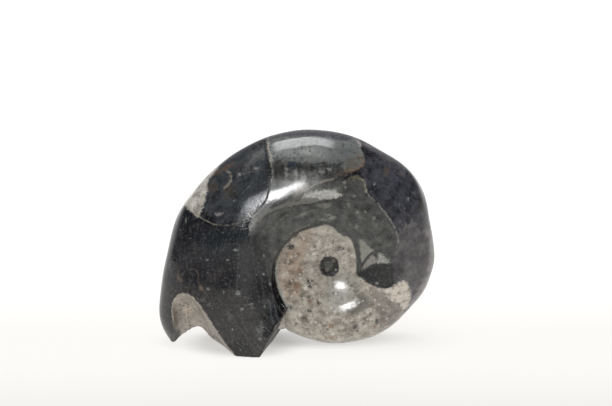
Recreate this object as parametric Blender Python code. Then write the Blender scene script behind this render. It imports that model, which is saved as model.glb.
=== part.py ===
"""A polished fossil goniatite: one solid stone, standing on its cut aperture and its lowest whorl.

The coil turns about an axis along Y, the stone is symmetric about the XZ plane, and the near
flank faces -Y. Z = 0 is the table, and the origin is under the middle of the stone.
Lengths below are millimetres and angles degrees, turned to metres where the mesh is made.
"""

import math

import bmesh
import bpy

MM = 0.001

# --- driving dimensions -------------------------------------------------------------
AXIS_X = 9.63  # the umbilicus, right of the middle of the stone
AXIS_Z = 23.9  # and its height above the table
RADIUS_0 = 28.28  # outline radius from the umbilicus straight to the right (angle 0)
GROWTH = (0.2814, 0.0240, -0.0476, 0.0184)  # exponent of the coil, per 100 degrees
INNER_GROWTH = 0.0022  # exponent per degree of the whorl before, hidden under the last
# swells and flats that the grinding left on the outline: angle, reach, share of radius
SWELLS = (
    (-90.0, 16.0, 0.026),
    (-62.0, 13.0, 0.026),
    (-32.0, 12.0, -0.006),
    (0.0, 8.0, 0.020),
    (22.0, 9.0, -0.014),
    (49.0, 16.0, 0.034),
    (98.0, 22.0, 0.016),
    (160.0, 7.0, 0.008),
    (178.0, 9.0, -0.010),
    (199.0, 8.0, 0.020),
    (214.0, 7.5, -0.055),
)
HALF_WIDTH = 13.0  # half thickness of the whorl where its radius is WIDTH_RADIUS
WIDTH_RADIUS = 51.0
WIDTH_POWER = 0.6  # how fast the whorl widens as it grows
UMBILICUS_HALF = 5.0  # half thickness at the umbilicus
VENTER_POWER = 1.9  # roundness of the flank towards the outer edge
SHOULDER_DROP = 2.2  # crest to umbilical shoulder of the body chamber
SEAM_RADIUS = 15.4  # where the body chamber's wall meets the whorl before, at 183 degrees
SEAM_GROWTH = 0.042  # mm per degree
WALL_RUN = 1.6  # how far the umbilical wall runs out as it drops
FIRST_ANGLE, LAST_ANGLE = -270.0, 218.0
STEP_ANGLE = 4.0
VOXEL = 0.85
TRIANGLES_KEPT = 0.15

# The cut at the aperture, as pairs: a point of the keel (x, z) on the symmetry plane and
# the point (x, z) where the same ruling leaves the flank, with its half thickness there.
# x is measured from the umbilicus. They run from the ventral tip, over the hollow, to the foot.
HOLLOW = (
    ((-46.2, -2.4), (-46.2, -0.5), 3.0),
    ((-45.2, -1.4), (-45.4, 1.2), 4.0),
    ((-44.2, -0.4), (-44.4, 2.8), 5.5),
    ((-43.3, 0.6), (-43.7, 5.2), 6.3),
    ((-42.3, 1.6), (-43.6, 8.2), 6.8),
    ((-41.0, 2.4), (-43.9, 11.3), 6.7),
    ((-39.8, 3.2), (-43.6, 14.2), 7.1),
    ((-38.7, 3.8), (-42.4, 16.2), 7.9),
    ((-37.6, 4.2), (-40.6, 16.9), 9.0),
    ((-36.6, 4.1), (-38.6, 16.2), 9.9),
    ((-35.8, 3.5), (-36.6, 14.3), 10.7),
    ((-34.9, 2.5), (-34.6, 11.6), 11.5),
    ((-34.1, 1.5), (-32.6, 8.6), 12.0),
    ((-33.2, 0.7), (-30.6, 5.5), 12.4),
    ((-32.2, 0.0), (-28.5, 2.5), 12.8),
    ((-31.2, -0.8), (-26.5, 0.2), 13.1),
    ((-30.0, -2.0), (-24.5, -2.0), 13.3),
)
HOLLOW_BOW = 0.7  # how far the cut's faces bow into the stone between keel and flank
CUT_REACH = 17.0  # half width of the cutter, past both flanks


# --- the coil's laws ----------------------------------------------------------------
def radius(angle):
    """Outline radius of the coil at an angle, both whorls."""
    if angle < -120.0:
        base = 23.6 * math.exp(INNER_GROWTH * (angle + 120.0))
    else:
        q = angle / 100.0
        base = RADIUS_0 * math.exp(sum(g * q ** (n + 1) for n, g in enumerate(GROWTH)))
    return base * (1.0 + sum(a * math.exp(-(((angle - c) / w) ** 2)) for c, w, a in SWELLS))


def half_width(angle):
    return HALF_WIDTH * (radius(angle) / WIDTH_RADIUS) ** WIDTH_POWER


def crest(angle):
    """Radius of the flank's highest line, which moves inwards as the whorl grows."""
    return radius(angle) * (0.52 + 0.06 * (1.0 - math.tanh((angle - 20.0) / 45.0)))


def ease(x):
    x = min(max(x, 0.0), 1.0)
    return x * x * (3.0 - 2.0 * x)


def flank_outside(angle, r):
    u = (r - crest(angle)) / (radius(angle) - crest(angle))
    return half_width(angle) * math.sqrt(max(1.0 - min(u, 1.0) ** VENTER_POWER, 0.0))


def flank_dish(angle, r):
    """The open umbilicus: a smooth dish from the crest down to the axis."""
    v = min(abs(r) / crest(angle), 1.0)
    return UMBILICUS_HALF + (half_width(angle) - UMBILICUS_HALF) * math.sin(0.5 * math.pi * v) ** 2


def wall_share(angle):
    """The umbilical wall starts as nothing over the top and is full height by the left side."""
    return ease((angle - 105.0) / 95.0)


def seam(angle):
    return SEAM_RADIUS + (angle - 183.0) * SEAM_GROWTH


def flank_wall(angle, r):
    """The body chamber: a shoulder, and a steep wall down to the whorl before."""
    back = max((crest(angle) - r) / (crest(angle) - seam(angle)), 0.0)
    rise = ease((r - seam(angle) + 0.3) / WALL_RUN)
    return (half_width(angle) - SHOULDER_DROP * back * back) * rise


def flank(angle, r):
    if r >= crest(angle):
        return flank_outside(angle, r)
    w = wall_share(angle)
    return (1.0 - w) * flank_dish(angle, r) + w * flank_wall(angle, max(r, 0.0))


def section(angle):
    """Near half of the whorl's section: (radius, half thickness) from the axis to the venter."""
    w = ease((angle - 100.0) / 40.0)
    start = (1.0 - w) * -1.5 + w * (seam(angle) - 1.2)
    c, edge = crest(angle), radius(angle)
    inner = [0.0, 0.07, 0.14, 0.22, 0.34, 0.46, 0.58, 0.70, 0.82, 0.91]
    stations = [start + (c - start) * f for f in inner]
    stations += [c + (edge - c) * math.sin(0.5 * math.pi * n / 12.0) for n in range(12)]
    return [(r, max(flank(angle, r), 0.05)) for r in stations] + [(edge, 0.0)]


# --- where the last whorl ends ------------------------------------------------------
def end_on_flank(r):
    return 223.3 + 0.52 * (r - 17.1)


def end_on_keel(r):
    return end_on_flank(r) + (235.5 - end_on_flank(r)) * ease((r - 17.0) / 8.0)


def point(angle, r, y):
    a = math.radians(angle)
    return (
        (AXIS_X + r * math.cos(a)) * MM,
        y * MM,
        (AXIS_Z + r * math.sin(a)) * MM,
    )


# --- clearing the scene -------------------------------------------------------------
for old in list(bpy.data.objects):
    bpy.data.objects.remove(old, do_unlink=True)
for old in list(bpy.data.meshes):
    bpy.data.meshes.remove(old)


def add_object(name, mesh):
    obj = bpy.data.objects.new(name, mesh)
    bpy.context.scene.collection.objects.link(obj)
    return obj


def make_cutter(obj):
    obj.hide_render = True
    obj.display_type = "WIRE"
    return obj


# --- the coil: a spine of closed sections, lofted from the hidden whorl to the aperture
def coil_mesh():
    bm = bmesh.new()
    angles = []
    angle = FIRST_ANGLE
    while angle < LAST_ANGLE - 0.5 * STEP_ANGLE:
        angles.append(angle)
        angle += STEP_ANGLE
    angles.append(LAST_ANGLE)

    loops = []
    for angle in angles:
        half = section(angle)
        near = [bm.verts.new(point(angle, r, -h)) for r, h in half]
        far = [bm.verts.new(point(angle, r, h)) for r, h in half[:-1]]
        loops.append(near + far[::-1])

    # the last section is bent: the flanks end first, and the keel runs on under the foot
    half = section(226.0)
    near = [bm.verts.new(point(end_on_flank(r), r, -h)) for r, h in half]
    far = [bm.verts.new(point(end_on_flank(r), r, h)) for r, h in half[:-1]]
    loops.append(near + far[::-1])

    for one, two in zip(loops, loops[1:]):
        for n in range(len(one)):
            m = (n + 1) % len(one)
            bm.faces.new((one[n], one[m], two[m], two[n]))

    # start cap, well inside the stone
    first = loops[0]
    for n in range(len(half) - 2):
        bm.faces.new((first[n], first[n + 1], first[-n - 2], first[-n - 1]))
    tip = len(half) - 1
    bm.faces.new((first[tip - 1], first[tip], first[tip + 1]))

    # aperture cap, bent about its own keel line
    last = loops[-1]
    keel = [bm.verts.new(point(end_on_keel(r), r, 0.0)) for r, _ in half[:-1]]
    for n in range(len(half) - 2):
        bm.faces.new((last[n], keel[n], keel[n + 1], last[n + 1]))
        bm.faces.new((keel[n], last[-n - 1], last[-n - 2], keel[n + 1]))
    bm.faces.new((last[tip - 1], keel[tip - 1], last[tip]))
    bm.faces.new((keel[tip - 1], last[tip + 1], last[tip]))
    bm.faces.new((last[0], last[-1], keel[0]))

    bmesh.ops.recalc_face_normals(bm, faces=bm.faces)
    mesh = bpy.data.meshes.new("goniatite")
    bm.to_mesh(mesh)
    bm.free()
    return mesh


# --- the hollow cut on both sides of the keel, between the ventral tip and the foot --
def smooth_rulings(pairs, parts):
    """The ruling pairs, with more of them read from a smooth curve through the given ones."""
    rows = [(kx, kz, fx, fz, y) for (kx, kz), (fx, fz), y in pairs]
    rows = [rows[0]] + rows + [rows[-1]]
    fine = []
    for a, b, c, d in zip(rows, rows[1:], rows[2:], rows[3:]):
        for n in range(parts):
            t = n / parts
            fine.append(
                [
                    0.5
                    * (
                        2.0 * q
                        + (r - p) * t
                        + (2.0 * p - 5.0 * q + 4.0 * r - s) * t * t
                        + (3.0 * q - p - 3.0 * r + s) * t ** 3
                    )
                    for p, q, r, s in zip(a, b, c, d)
                ]
            )
    fine.append(list(rows[-1]))
    return fine


def hollow_mesh():
    bm = bmesh.new()
    loops = []
    for side in (-1.0, -0.62, -0.3, 0.0, 0.3, 0.62, 1.0):
        loop = []
        for kx, kz, fx, fz, y in smooth_rulings(HOLLOW, 2):
            share = CUT_REACH / y * abs(side)
            x, z = kx + (fx - kx) * share, kz + (fz - kz) * share
            z += HOLLOW_BOW * math.sin(math.pi * min(share, 1.0)) * ease((z + 1.0) / 3.0)
            loop.append(bm.verts.new(((AXIS_X + x) * MM, side * CUT_REACH * MM, z * MM)))
        low = [loop[-1].co.copy(), loop[0].co.copy()]
        for co in low:
            co.z = -6.0 * MM
            loop.append(bm.verts.new(co))
        loops.append(loop)
    for one, two in zip(loops, loops[1:]):
        for n in range(len(one)):
            m = (n + 1) % len(one)
            bm.faces.new((one[n], one[m], two[m], two[n]))
    bm.faces.new(loops[0])
    bm.faces.new(loops[-1][::-1])
    bmesh.ops.triangulate(bm, faces=bm.faces)
    bmesh.ops.recalc_face_normals(bm, faces=bm.faces)
    mesh = bpy.data.meshes.new("cutter_hollow")
    bm.to_mesh(mesh)
    bm.free()
    return mesh


def slab_mesh():
    """Everything under the table's plane, which grinds the resting spots flat."""
    bm = bmesh.new()
    bmesh.ops.create_cube(bm, size=1.0)
    bmesh.ops.scale(bm, vec=(140.0 * MM, 80.0 * MM, 40.0 * MM), verts=bm.verts)
    bmesh.ops.translate(bm, vec=(0.0, 0.0, -20.0 * MM), verts=bm.verts)
    mesh = bpy.data.meshes.new("cutter_table")
    bm.to_mesh(mesh)
    bm.free()
    return mesh


def stone_material():
    mat = bpy.data.materials.new("polished_fossil_stone")
    mat.use_nodes = True
    shader = mat.node_tree.nodes["Principled BSDF"]
    shader.inputs["Base Color"].default_value = (0.035, 0.036, 0.038, 1.0)
    shader.inputs["Roughness"].default_value = 0.22
    shader.inputs["Metallic"].default_value = 0.0
    return mat


goniatite = add_object("goniatite", coil_mesh())
goniatite.data.materials.append(stone_material())
hollow = make_cutter(add_object("cutter_hollow", hollow_mesh()))
table = make_cutter(add_object("cutter_table", slab_mesh()))

grown = goniatite.modifiers.new("grown_together", "REMESH")
grown.mode = "VOXEL"
grown.voxel_size = VOXEL * MM
grown.use_smooth_shade = True

fair = goniatite.modifiers.new("polish", "SMOOTH")
fair.factor = 0.4
fair.iterations = 2

lean = goniatite.modifiers.new("facets", "DECIMATE")
lean.ratio = TRIANGLES_KEPT
lean.use_collapse_triangulate = True

for name, cutter in (("cut_aperture", hollow), ("ground_flat", table)):
    cut = goniatite.modifiers.new(name, "BOOLEAN")
    cut.operation = "DIFFERENCE"
    cut.solver = "EXACT"
    cut.object = cutter
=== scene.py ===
"""Looks of a polished fossil goniatite: its finished surface, markings, floor, light and camera.

Lengths are millimetres measured from the umbilicus (the coil's centre) until the mesh is made.
x runs to the right, y away from the camera and z up. The coil's axis runs along y.
"""

import math
from itertools import product

import bpy
import numpy as np
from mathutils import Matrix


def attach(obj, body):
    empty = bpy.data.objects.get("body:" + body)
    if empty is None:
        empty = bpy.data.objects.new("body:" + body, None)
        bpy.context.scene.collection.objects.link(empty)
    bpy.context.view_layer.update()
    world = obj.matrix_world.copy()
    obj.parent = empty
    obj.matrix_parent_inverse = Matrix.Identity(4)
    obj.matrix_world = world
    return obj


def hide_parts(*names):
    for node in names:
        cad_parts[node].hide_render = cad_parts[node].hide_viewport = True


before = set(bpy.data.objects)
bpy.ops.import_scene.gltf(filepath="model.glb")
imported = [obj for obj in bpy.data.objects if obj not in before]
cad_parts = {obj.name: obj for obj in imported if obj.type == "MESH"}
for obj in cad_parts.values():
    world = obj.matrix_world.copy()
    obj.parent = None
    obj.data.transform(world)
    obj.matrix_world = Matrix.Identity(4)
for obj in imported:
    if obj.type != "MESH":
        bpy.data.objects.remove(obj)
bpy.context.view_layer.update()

MM = 0.001

# --- the coil's driving dimensions, the same as the solid's but for the two last swells,
# which round the lower right by up to 0.7 mm ---------------------------------------------
AXIS_X, AXIS_Z = 9.63, 23.9
RADIUS_0 = 28.28
GROWTH = (0.2814, 0.0240, -0.0476, 0.0184)
INNER_GROWTH = 0.0022
SWELLS = (
    (-90.0, 16.0, 0.026),
    (-62.0, 13.0, 0.026),
    (-32.0, 12.0, -0.006),
    (0.0, 8.0, 0.020),
    (22.0, 9.0, -0.014),
    (49.0, 16.0, 0.034),
    (98.0, 22.0, 0.016),
    (160.0, 7.0, 0.008),
    (178.0, 9.0, -0.010),
    (199.0, 8.0, 0.020),
    (214.0, 7.5, -0.055),
    (-45.0, 14.0, 0.018),
    (-16.0, 12.0, 0.020),
)
HALF_WIDTH, WIDTH_RADIUS, WIDTH_POWER = 12.8, 51.0, 0.6
UMBILICUS_HALF = 5.0
VENTER_POWER = 1.9
SHOULDER_DROP = 2.2
SEAM_RADIUS, SEAM_GROWTH = 15.4, 0.042
WALL_RUN = 1.6

HOLLOW = (
    ((-46.2, -2.4), (-46.2, -0.5), 3.0),
    ((-45.2, -1.4), (-45.4, 1.2), 4.0),
    ((-44.2, -0.4), (-44.4, 2.8), 5.5),
    ((-43.3, 0.6), (-43.7, 5.2), 6.3),
    ((-42.3, 1.6), (-43.6, 8.2), 6.8),
    ((-41.0, 2.4), (-43.9, 11.3), 6.7),
    ((-39.8, 3.2), (-43.6, 14.2), 7.1),
    ((-38.7, 3.8), (-42.4, 16.2), 7.9),
    ((-37.6, 4.2), (-40.6, 16.9), 9.0),
    ((-36.6, 4.1), (-38.6, 16.2), 9.9),
    ((-35.8, 3.5), (-36.6, 14.3), 10.7),
    ((-34.9, 2.5), (-34.6, 11.6), 11.5),
    ((-34.1, 1.5), (-32.6, 8.6), 12.0),
    ((-33.2, 0.7), (-30.6, 5.5), 12.4),
    ((-32.2, 0.0), (-28.5, 2.5), 12.8),
    ((-31.2, -0.8), (-26.5, 0.2), 13.1),
    ((-30.0, -2.0), (-24.5, -2.0), 13.3),
)
HOLLOW_BOW = 0.7

PITCH = 0.39  # spacing of the finished surface's mesh
EDGE_ROUND = 0.35  # how far the polish rounds the cut edges


# --- shape: a signed field, negative inside the stone -------------------------------
def ease(x):
    x = np.clip(x, 0.0, 1.0)
    return x * x * (3.0 - 2.0 * x)


def smooth_max(a, b, k):
    h = np.clip(0.5 + 0.5 * (a - b) / k, 0.0, 1.0)
    return b + (a - b) * h + k * h * (1.0 - h)


def smooth_min(a, b, k):
    return -smooth_max(-a, -b, k)


def radius(t):
    q = t / 100.0
    base = RADIUS_0 * np.exp(sum(g * q ** (n + 1) for n, g in enumerate(GROWTH)))
    base = np.where(t < -120.0, 23.6 * np.exp(INNER_GROWTH * (t + 120.0)), base)
    return base * (1.0 + sum(a * np.exp(-(((t - c) / w) ** 2)) for c, w, a in SWELLS))


def crest_share(t):
    return 0.52 + 0.06 * (1.0 - np.tanh((t - 20.0) / 45.0))


def seam(t):
    return SEAM_RADIUS + (t - 183.0) * SEAM_GROWTH


def whorl_section(t, r):
    """What the whorl's section needs at an angle and a radius, apart from y."""
    edge = radius(t)
    wide = HALF_WIDTH * (edge / WIDTH_RADIUS) ** WIDTH_POWER
    top = edge * crest_share(t)
    u = np.clip((r - top) / (edge - top), 0.0, None) ** VENTER_POWER
    dish = UMBILICUS_HALF + (wide - UMBILICUS_HALF) * np.sin(0.5 * np.pi * np.clip(r / top, 0, 1)) ** 2.7
    # the inner whorls' buried seam shows as a faint swelling in the lower half of the dish
    dish = dish + 0.05 * np.exp(-(((r - 11.2) / 1.0) ** 2) - ((t + 83.0) / 38.0) ** 2)
    w = ease((t - 105.0) / 95.0)
    back = np.clip((top - r) / (top - seam(t)), 0.0, None)
    shoulder = wide - SHOULDER_DROP * back * back
    rise = ease((r - seam(t) + 0.3) / WALL_RUN)
    inner = (1.0 - w) * dish + w * shoulder * rise
    # the umbilicus itself: a small pit with a low mound in it
    inner = inner - 0.08 * (1.0 - ease((r - 1.6) / 1.2)) + 0.04 * (1.0 - ease(r / 1.3))
    return wide, u, np.where(r < top, inner, wide)


def whorl_field(section, y):
    wide, u, inner = section
    return wide * (np.sqrt((y / wide) ** 2 + u) - 1.0) + (wide - inner)


def end_on_flank(r):
    return 223.3 + 0.52 * (r - 17.1)


def end_on_keel(r):
    return end_on_flank(r) + (235.5 - end_on_flank(r)) * ease((r - 17.0) / 8.0)


def coil_sections(x, z):
    r = np.hypot(x, z)
    a = np.degrees(np.arctan2(z, x))
    last = a + 360.0  # the body chamber, past the left side
    first = a - 360.0  # the whorl before, inside the left side
    at_cap = whorl_section(np.full_like(r, 226.0), r)
    return {
        "r": r,
        "main": whorl_section(a, r),
        "last": whorl_section(np.minimum(last, 245.0), r),
        "first": whorl_section(np.maximum(first, -272.0), r),
        "last_there": a < -105.0,
        "first_there": a > 88.0,
        "last_angle": last,
        "flank_end": end_on_flank(r),
        "keel_end": end_on_keel(r),
        "cap_half": at_cap[0] * np.sqrt(np.clip(1.0 - at_cap[1], 0.02, 1.0)),
        "start": (-270.0 - first) * r * math.pi / 180.0,
    }


def coil_field(s, y):
    f = whorl_field(s["main"], y)
    away = np.clip(y / s["cap_half"], 0.0, 1.0)
    end = s["keel_end"] + (s["flank_end"] - s["keel_end"]) * away
    cap = (s["last_angle"] - end) * s["r"] * math.pi / 180.0
    body = smooth_max(whorl_field(s["last"], y), cap, EDGE_ROUND)
    f = np.where(s["last_there"], smooth_min(f, body, 0.3), f)
    inner = np.maximum(whorl_field(s["first"], y), s["start"])
    return np.where(s["first_there"], smooth_min(f, inner, 0.3), f)


def smooth_rulings(pairs, parts):
    rows = [(kx, kz, fx, fz, y) for (kx, kz), (fx, fz), y in pairs]
    rows = np.array([rows[0]] + rows + [rows[-1]])
    fine = []
    for p, q, r, s in zip(rows, rows[1:], rows[2:], rows[3:]):
        for n in range(parts):
            t = n / parts
            fine.append(
                0.5
                * (
                    2.0 * q
                    + (r - p) * t
                    + (2.0 * p - 5.0 * q + 4.0 * r - s) * t * t
                    + (3.0 * q - p - 3.0 * r + s) * t**3
                )
            )
    fine.append(rows[-1])
    return np.array(fine)


RULINGS = smooth_rulings(HOLLOW, 2)


def hollow_field(x, y, h):
    """Distance to the cut at the aperture, negative in the hollow. h is the height above the table."""
    kx, kz, fx, fz, half = RULINGS.T
    share = y[:, None] / half
    px = kx + (fx - kx) * share
    pz = kz + (fz - kz) * share
    pz = pz + HOLLOW_BOW * np.sin(np.pi * np.minimum(share, 1.0)) * ease((pz + 1.0) / 3.0)
    px = np.concatenate([px[:, :1], px, px[:, -1:]], axis=1)
    pz = np.concatenate([pz[:, :1] * 0 - 9.0, pz, pz[:, :1] * 0 - 9.0], axis=1)
    ax, az, bx, bz = px[:, :-1], pz[:, :-1], px[:, 1:], pz[:, 1:]
    dx, dz = bx - ax, bz - az
    qx, qz = x[:, None] - ax, h[:, None] - az
    t = np.clip((qx * dx + qz * dz) / (dx * dx + dz * dz + 1e-12), 0.0, 1.0)
    dist = np.sqrt(((qx - t * dx) ** 2 + (qz - t * dz) ** 2).min(axis=1))
    spans = (ax > x[:, None]) != (bx > x[:, None])
    over = h[:, None] < az + (x[:, None] - ax) * dz / np.where(np.abs(dx) < 1e-9, 1e-9, dx)
    inside = (spans & over).sum(axis=1) % 2 == 1
    return np.where(inside, -dist, dist)


# slow, shallow waves that hand polishing leaves
rng = np.random.default_rng(11)
WAVES = []
for n in range(16):
    direction = rng.normal(size=3)
    direction /= np.linalg.norm(direction)
    length = 9.0 * 2.6 ** rng.random()
    WAVES.append((2.0 * math.pi / length * direction, rng.random() * 6.28, 0.0013 * length))


def waves(x, y, z):
    return sum(a * np.sin(k[0] * x + k[1] * y + k[2] * z + p) for k, p, a in WAVES)


def stone_field(x, y, z, sections=None):
    """x, y, z as flat arrays; y is signed, and only the slow waves differ from flank to flank."""
    s = sections or coil_sections(x, z)
    away = np.abs(y)
    f = coil_field(s, away) + waves(x, y, z)
    h = z + AXIS_Z
    # a small web of stone fills the crook between the body's end and the lowest whorl
    web = np.maximum.reduce([x + 12.7, -17.3 - x, 6.25 - h, h - 13.0, away - 7.7])
    f = smooth_min(f, web, 0.3)
    near = (x < -20.0) & (h < 21.0)
    if near.any():
        cut = hollow_field(x[near], away[near] if np.ndim(away) else np.full(near.sum(), away), h[near])
        f[near] = smooth_max(f[near], -cut, EDGE_ROUND)
    return smooth_max(f, -h, 0.2)


def surface_net(values, xs, ys, zs):
    """One vertex in each cell that the surface crosses, and one quad for each crossed edge."""
    inside = values < 0.0
    nx, ny, nz = values.shape
    count = np.zeros((nx - 1, ny - 1, nz - 1), np.int8)
    for i, j, k in product((0, 1), repeat=3):
        count += inside[i : nx - 1 + i, j : ny - 1 + j, k : nz - 1 + k]
    active = (count > 0) & (count < 8)
    cells = np.argwhere(active)
    index = np.full(active.shape, -1, np.int64)
    index[active] = np.arange(len(cells))
    total = np.zeros((len(cells), 3))
    crossings = np.zeros(len(cells))
    corners = list(product((0, 1), repeat=3))
    for a in corners:
        for axis in range(3):
            if a[axis]:
                continue
            b = list(a)
            b[axis] = 1
            fa = values[cells[:, 0] + a[0], cells[:, 1] + a[1], cells[:, 2] + a[2]]
            fb = values[cells[:, 0] + b[0], cells[:, 1] + b[1], cells[:, 2] + b[2]]
            cross = (fa < 0.0) != (fb < 0.0)
            t = np.where(cross, fa / np.where(cross, fa - fb, 1.0), 0.0)
            place = cells + np.array(a) + 0.0
            place[:, axis] += t
            total += np.where(cross[:, None], place, 0.0)
            crossings += cross
    place = total / crossings[:, None]
    low = np.array([xs[0], ys[0], zs[0]])
    points = low + place * PITCH
    quads = []
    for axis in range(3):
        b, c = [(1, 2), (2, 0), (0, 1)][axis]
        first = [slice(1, n - 1) for n in values.shape]
        first[axis] = slice(0, values.shape[axis] - 1)
        second = list(first)
        second[axis] = slice(1, values.shape[axis])
        one, two = inside[tuple(first)], inside[tuple(second)]
        for flip in (False, True):
            found = np.argwhere((one & ~two) if not flip else (~one & two))
            if not len(found):
                continue
            offset = np.array([0 if n == axis else 1 for n in range(3)])
            cell = found + offset
            ring = []
            for db, dc in ((-1, -1), (0, -1), (0, 0), (-1, 0)):
                at = cell.copy()
                at[:, b] += db
                at[:, c] += dc
                ring.append(index[at[:, 0], at[:, 1], at[:, 2]])
            ring = np.stack(ring, axis=1)
            quads.append(ring[:, ::-1] if flip else ring)
    return points, np.concatenate(quads)


def stone_surface():
    xs = np.arange(-49.2, 30.0, PITCH)
    ys = np.arange(-14.6, 14.6 + PITCH, PITCH)
    zs = np.arange(-AXIS_Z - 1.1, 38.4, PITCH)
    gx, gz = (g.ravel() for g in np.meshgrid(xs, zs, indexing="ij"))
    sections = coil_sections(gx, gz)
    values = np.empty((len(xs), len(ys), len(zs)), np.float32)
    for j, y in enumerate(ys):
        values[:, j, :] = stone_field(gx, np.full_like(gx, y), gz, sections).reshape(len(xs), len(zs))
    points, quads = surface_net(values, xs, ys, zs)

    edges = np.unique(
        np.sort(np.concatenate([quads[:, [n, (n + 1) % 4]] for n in range(4)]), axis=1), axis=0
    )
    links = np.bincount(edges.ravel(), minlength=len(points))[:, None]
    for turn in range(7):
        if turn in (1, 2, 3):  # even out the spacing
            mean = np.zeros_like(points)
            for axis in range(3):
                mean[:, axis] = np.bincount(edges[:, 0], points[edges[:, 1], axis], len(points))
                mean[:, axis] += np.bincount(edges[:, 1], points[edges[:, 0], axis], len(points))
            points = points + 0.5 * (mean / links - points)
        points = onto_surface(points)
    return points, quads


def gradient(points, step=0.02):
    g = np.empty_like(points)
    for axis in range(3):
        shift = np.zeros(3)
        shift[axis] = step
        g[:, axis] = (stone_field(*(points + shift).T) - stone_field(*(points - shift).T)) / (2 * step)
    return g


def onto_surface(points):
    f = stone_field(*points.T)
    g = gradient(points)
    move = -f[:, None] * g / np.maximum((g * g).sum(axis=1), 0.05)[:, None]
    length = np.linalg.norm(move, axis=1, keepdims=True)
    return points + move * np.minimum(1.0, 0.25 / np.maximum(length, 1e-9))


points, quads = stone_surface()

mesh = bpy.data.meshes.new("goniatite_stone")
world_points = (points + np.array([AXIS_X, 0.0, AXIS_Z])) * MM
mesh.vertices.add(len(points))
mesh.vertices.foreach_set("co", world_points.astype(np.float32).ravel())
mesh.loops.add(quads.size)
mesh.loops.foreach_set("vertex_index", quads.astype(np.int32).ravel())
mesh.polygons.add(len(quads))
mesh.polygons.foreach_set("loop_start", np.arange(0, quads.size, 4, dtype=np.int32))
mesh.polygons.foreach_set("loop_total", np.full(len(quads), 4, np.int32))
mesh.update(calc_edges=True)
mesh.validate()
mesh.shade_smooth()
stone = bpy.data.objects.new("goniatite_stone", mesh)
bpy.context.scene.collection.objects.link(stone)
print("stone:", len(points), "points,", len(quads), "quads")


# --- where a point of the flank lies on the drawing of its markings -------------------
# The markings are drawn on one picture-sized sheet, 612 by 406, seen from the camera's place.
# Both flanks use it, mirrored, and the far flank's drawing is pulled about so that it differs.
ELEVATION = math.radians(14.5)
VIEW_DISTANCE = 500.0
LENS_PIXELS = 1803.5
TARGET_X, TARGET_H = -6.921, 40.464


def on_sheet(x, y, h):
    dx, dy, dh = x - TARGET_X, -np.abs(y), h - TARGET_H
    rise = dy * math.sin(ELEVATION) + dh * math.cos(ELEVATION)
    depth = VIEW_DISTANCE + dy * math.cos(ELEVATION) - dh * math.sin(ELEVATION)
    u = 306.0 + LENS_PIXELS * dx / depth
    v = 203.0 - LENS_PIXELS * rise / depth
    far = ease(y / 4.0)
    u = u + far * (5.0 * np.sin(x / 6.1 + 0.7) + 2.5 * np.sin(h / 3.3 + x / 9.0))
    v = v + far * (4.0 * np.sin(h / 5.2 + 1.9) + 3.0 * np.sin(x / 4.1 - h / 7.0))
    return u, v


def curve(points, closed=False, parts=4):
    """A smooth curve through the drawn points."""
    p = np.array(points, float)
    rows = np.concatenate([p[-1:], p, p[:2]]) if closed else np.concatenate([p[:1], p, p[-1:]])
    fine = []
    for a, b, c, d in zip(rows, rows[1:], rows[2:], rows[3:]):
        for n in range(parts):
            t = n / parts
            fine.append(
                0.5 * (2 * b + (c - a) * t + (2 * a - 5 * b + 4 * c - d) * t * t + (3 * b - a - 3 * c + d) * t**3)
            )
    if not closed:
        fine.append(rows[-1])
    return np.array(fine)


def to_segments(u, v, path):
    best = np.full(len(u), 1e9)
    for a, b in zip(path, path[1:]):
        ex, ey = b - a
        qx, qy = u - a[0], v - a[1]
        t = np.clip((qx * ex + qy * ey) / (ex * ex + ey * ey + 1e-12), 0.0, 1.0)
        best = np.minimum(best, (qx - t * ex) ** 2 + (qy - t * ey) ** 2)
    return np.sqrt(best)


def area(*points):
    """Distance to a closed outline, negative inside."""
    path = curve(points, closed=True)
    path = np.concatenate([path, path[:1]])

    def distance(u, v):
        inside = np.zeros(len(u), bool)
        for a, b in zip(path, path[1:]):
            if a[1] == b[1]:
                continue
            cross = (a[1] > v) != (b[1] > v)
            inside ^= cross & (u < a[0] + (v - a[1]) * (b[0] - a[0]) / (b[1] - a[1]))
        d = to_segments(u, v, path)
        return np.where(inside, -d, d)

    return distance


def line(width, *points):
    path = curve(points)
    return lambda u, v: to_segments(u, v, path) - 0.5 * width


def dots(*spots):
    """Small spots, each (u, v, half width, half height)."""

    def distance(u, v):
        best = np.full(len(u), 1e9)
        for cu, cv, ru, rv in spots:
            best = np.minimum(best, (np.hypot((u - cu) / ru, (v - cv) / rv) - 1.0) * min(ru, rv))
        return best

    return distance


# --- the drawing of the markings, near flank ------------------------------------------
SUTURE = [(268, 138), (268.3, 147), (269, 153), (270.3, 160), (272, 168), (272.6, 176), (271.2, 183),
          (269.6, 190), (268.4, 196), (265.8, 202), (261.5, 207.5), (255, 213.5), (249, 217.2), (243, 220.5),
          (236, 223.4), (228, 225.2), (220, 225.4), (213, 223.8), (207, 221), (200, 217.3), (193, 212.7), (186, 206)]
ARC = [(362, 178), (364.5, 184), (366.5, 191), (369, 195.5), (374, 200.5), (380, 206.3), (385, 212), (388.5, 217.5),
       (392, 223), (395.5, 229), (397.5, 236), (398, 243)]
DISC_TOP = [(275.5, 270), (276.5, 262), (279.5, 255), (284, 247.5), (289, 241.5), (293.5, 236), (299, 232.3),
            (304.5, 230), (312, 228.3), (318, 226.3), (326.5, 224.8), (333, 227.5), (338, 233), (344, 236),
            (348.5, 237), (352.3, 242), (354.5, 250), (356, 258), (356.3, 266), (357, 274)]
DISC_RIGHT = [(361, 278.5), (367, 282.3), (374, 286), (382, 288.4), (389, 288.2), (394, 285.5), (399, 282.5),
              (404.5, 281), (408.3, 285), (410.3, 292), (410.3, 300), (407.5, 307), (404, 313)]
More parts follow.
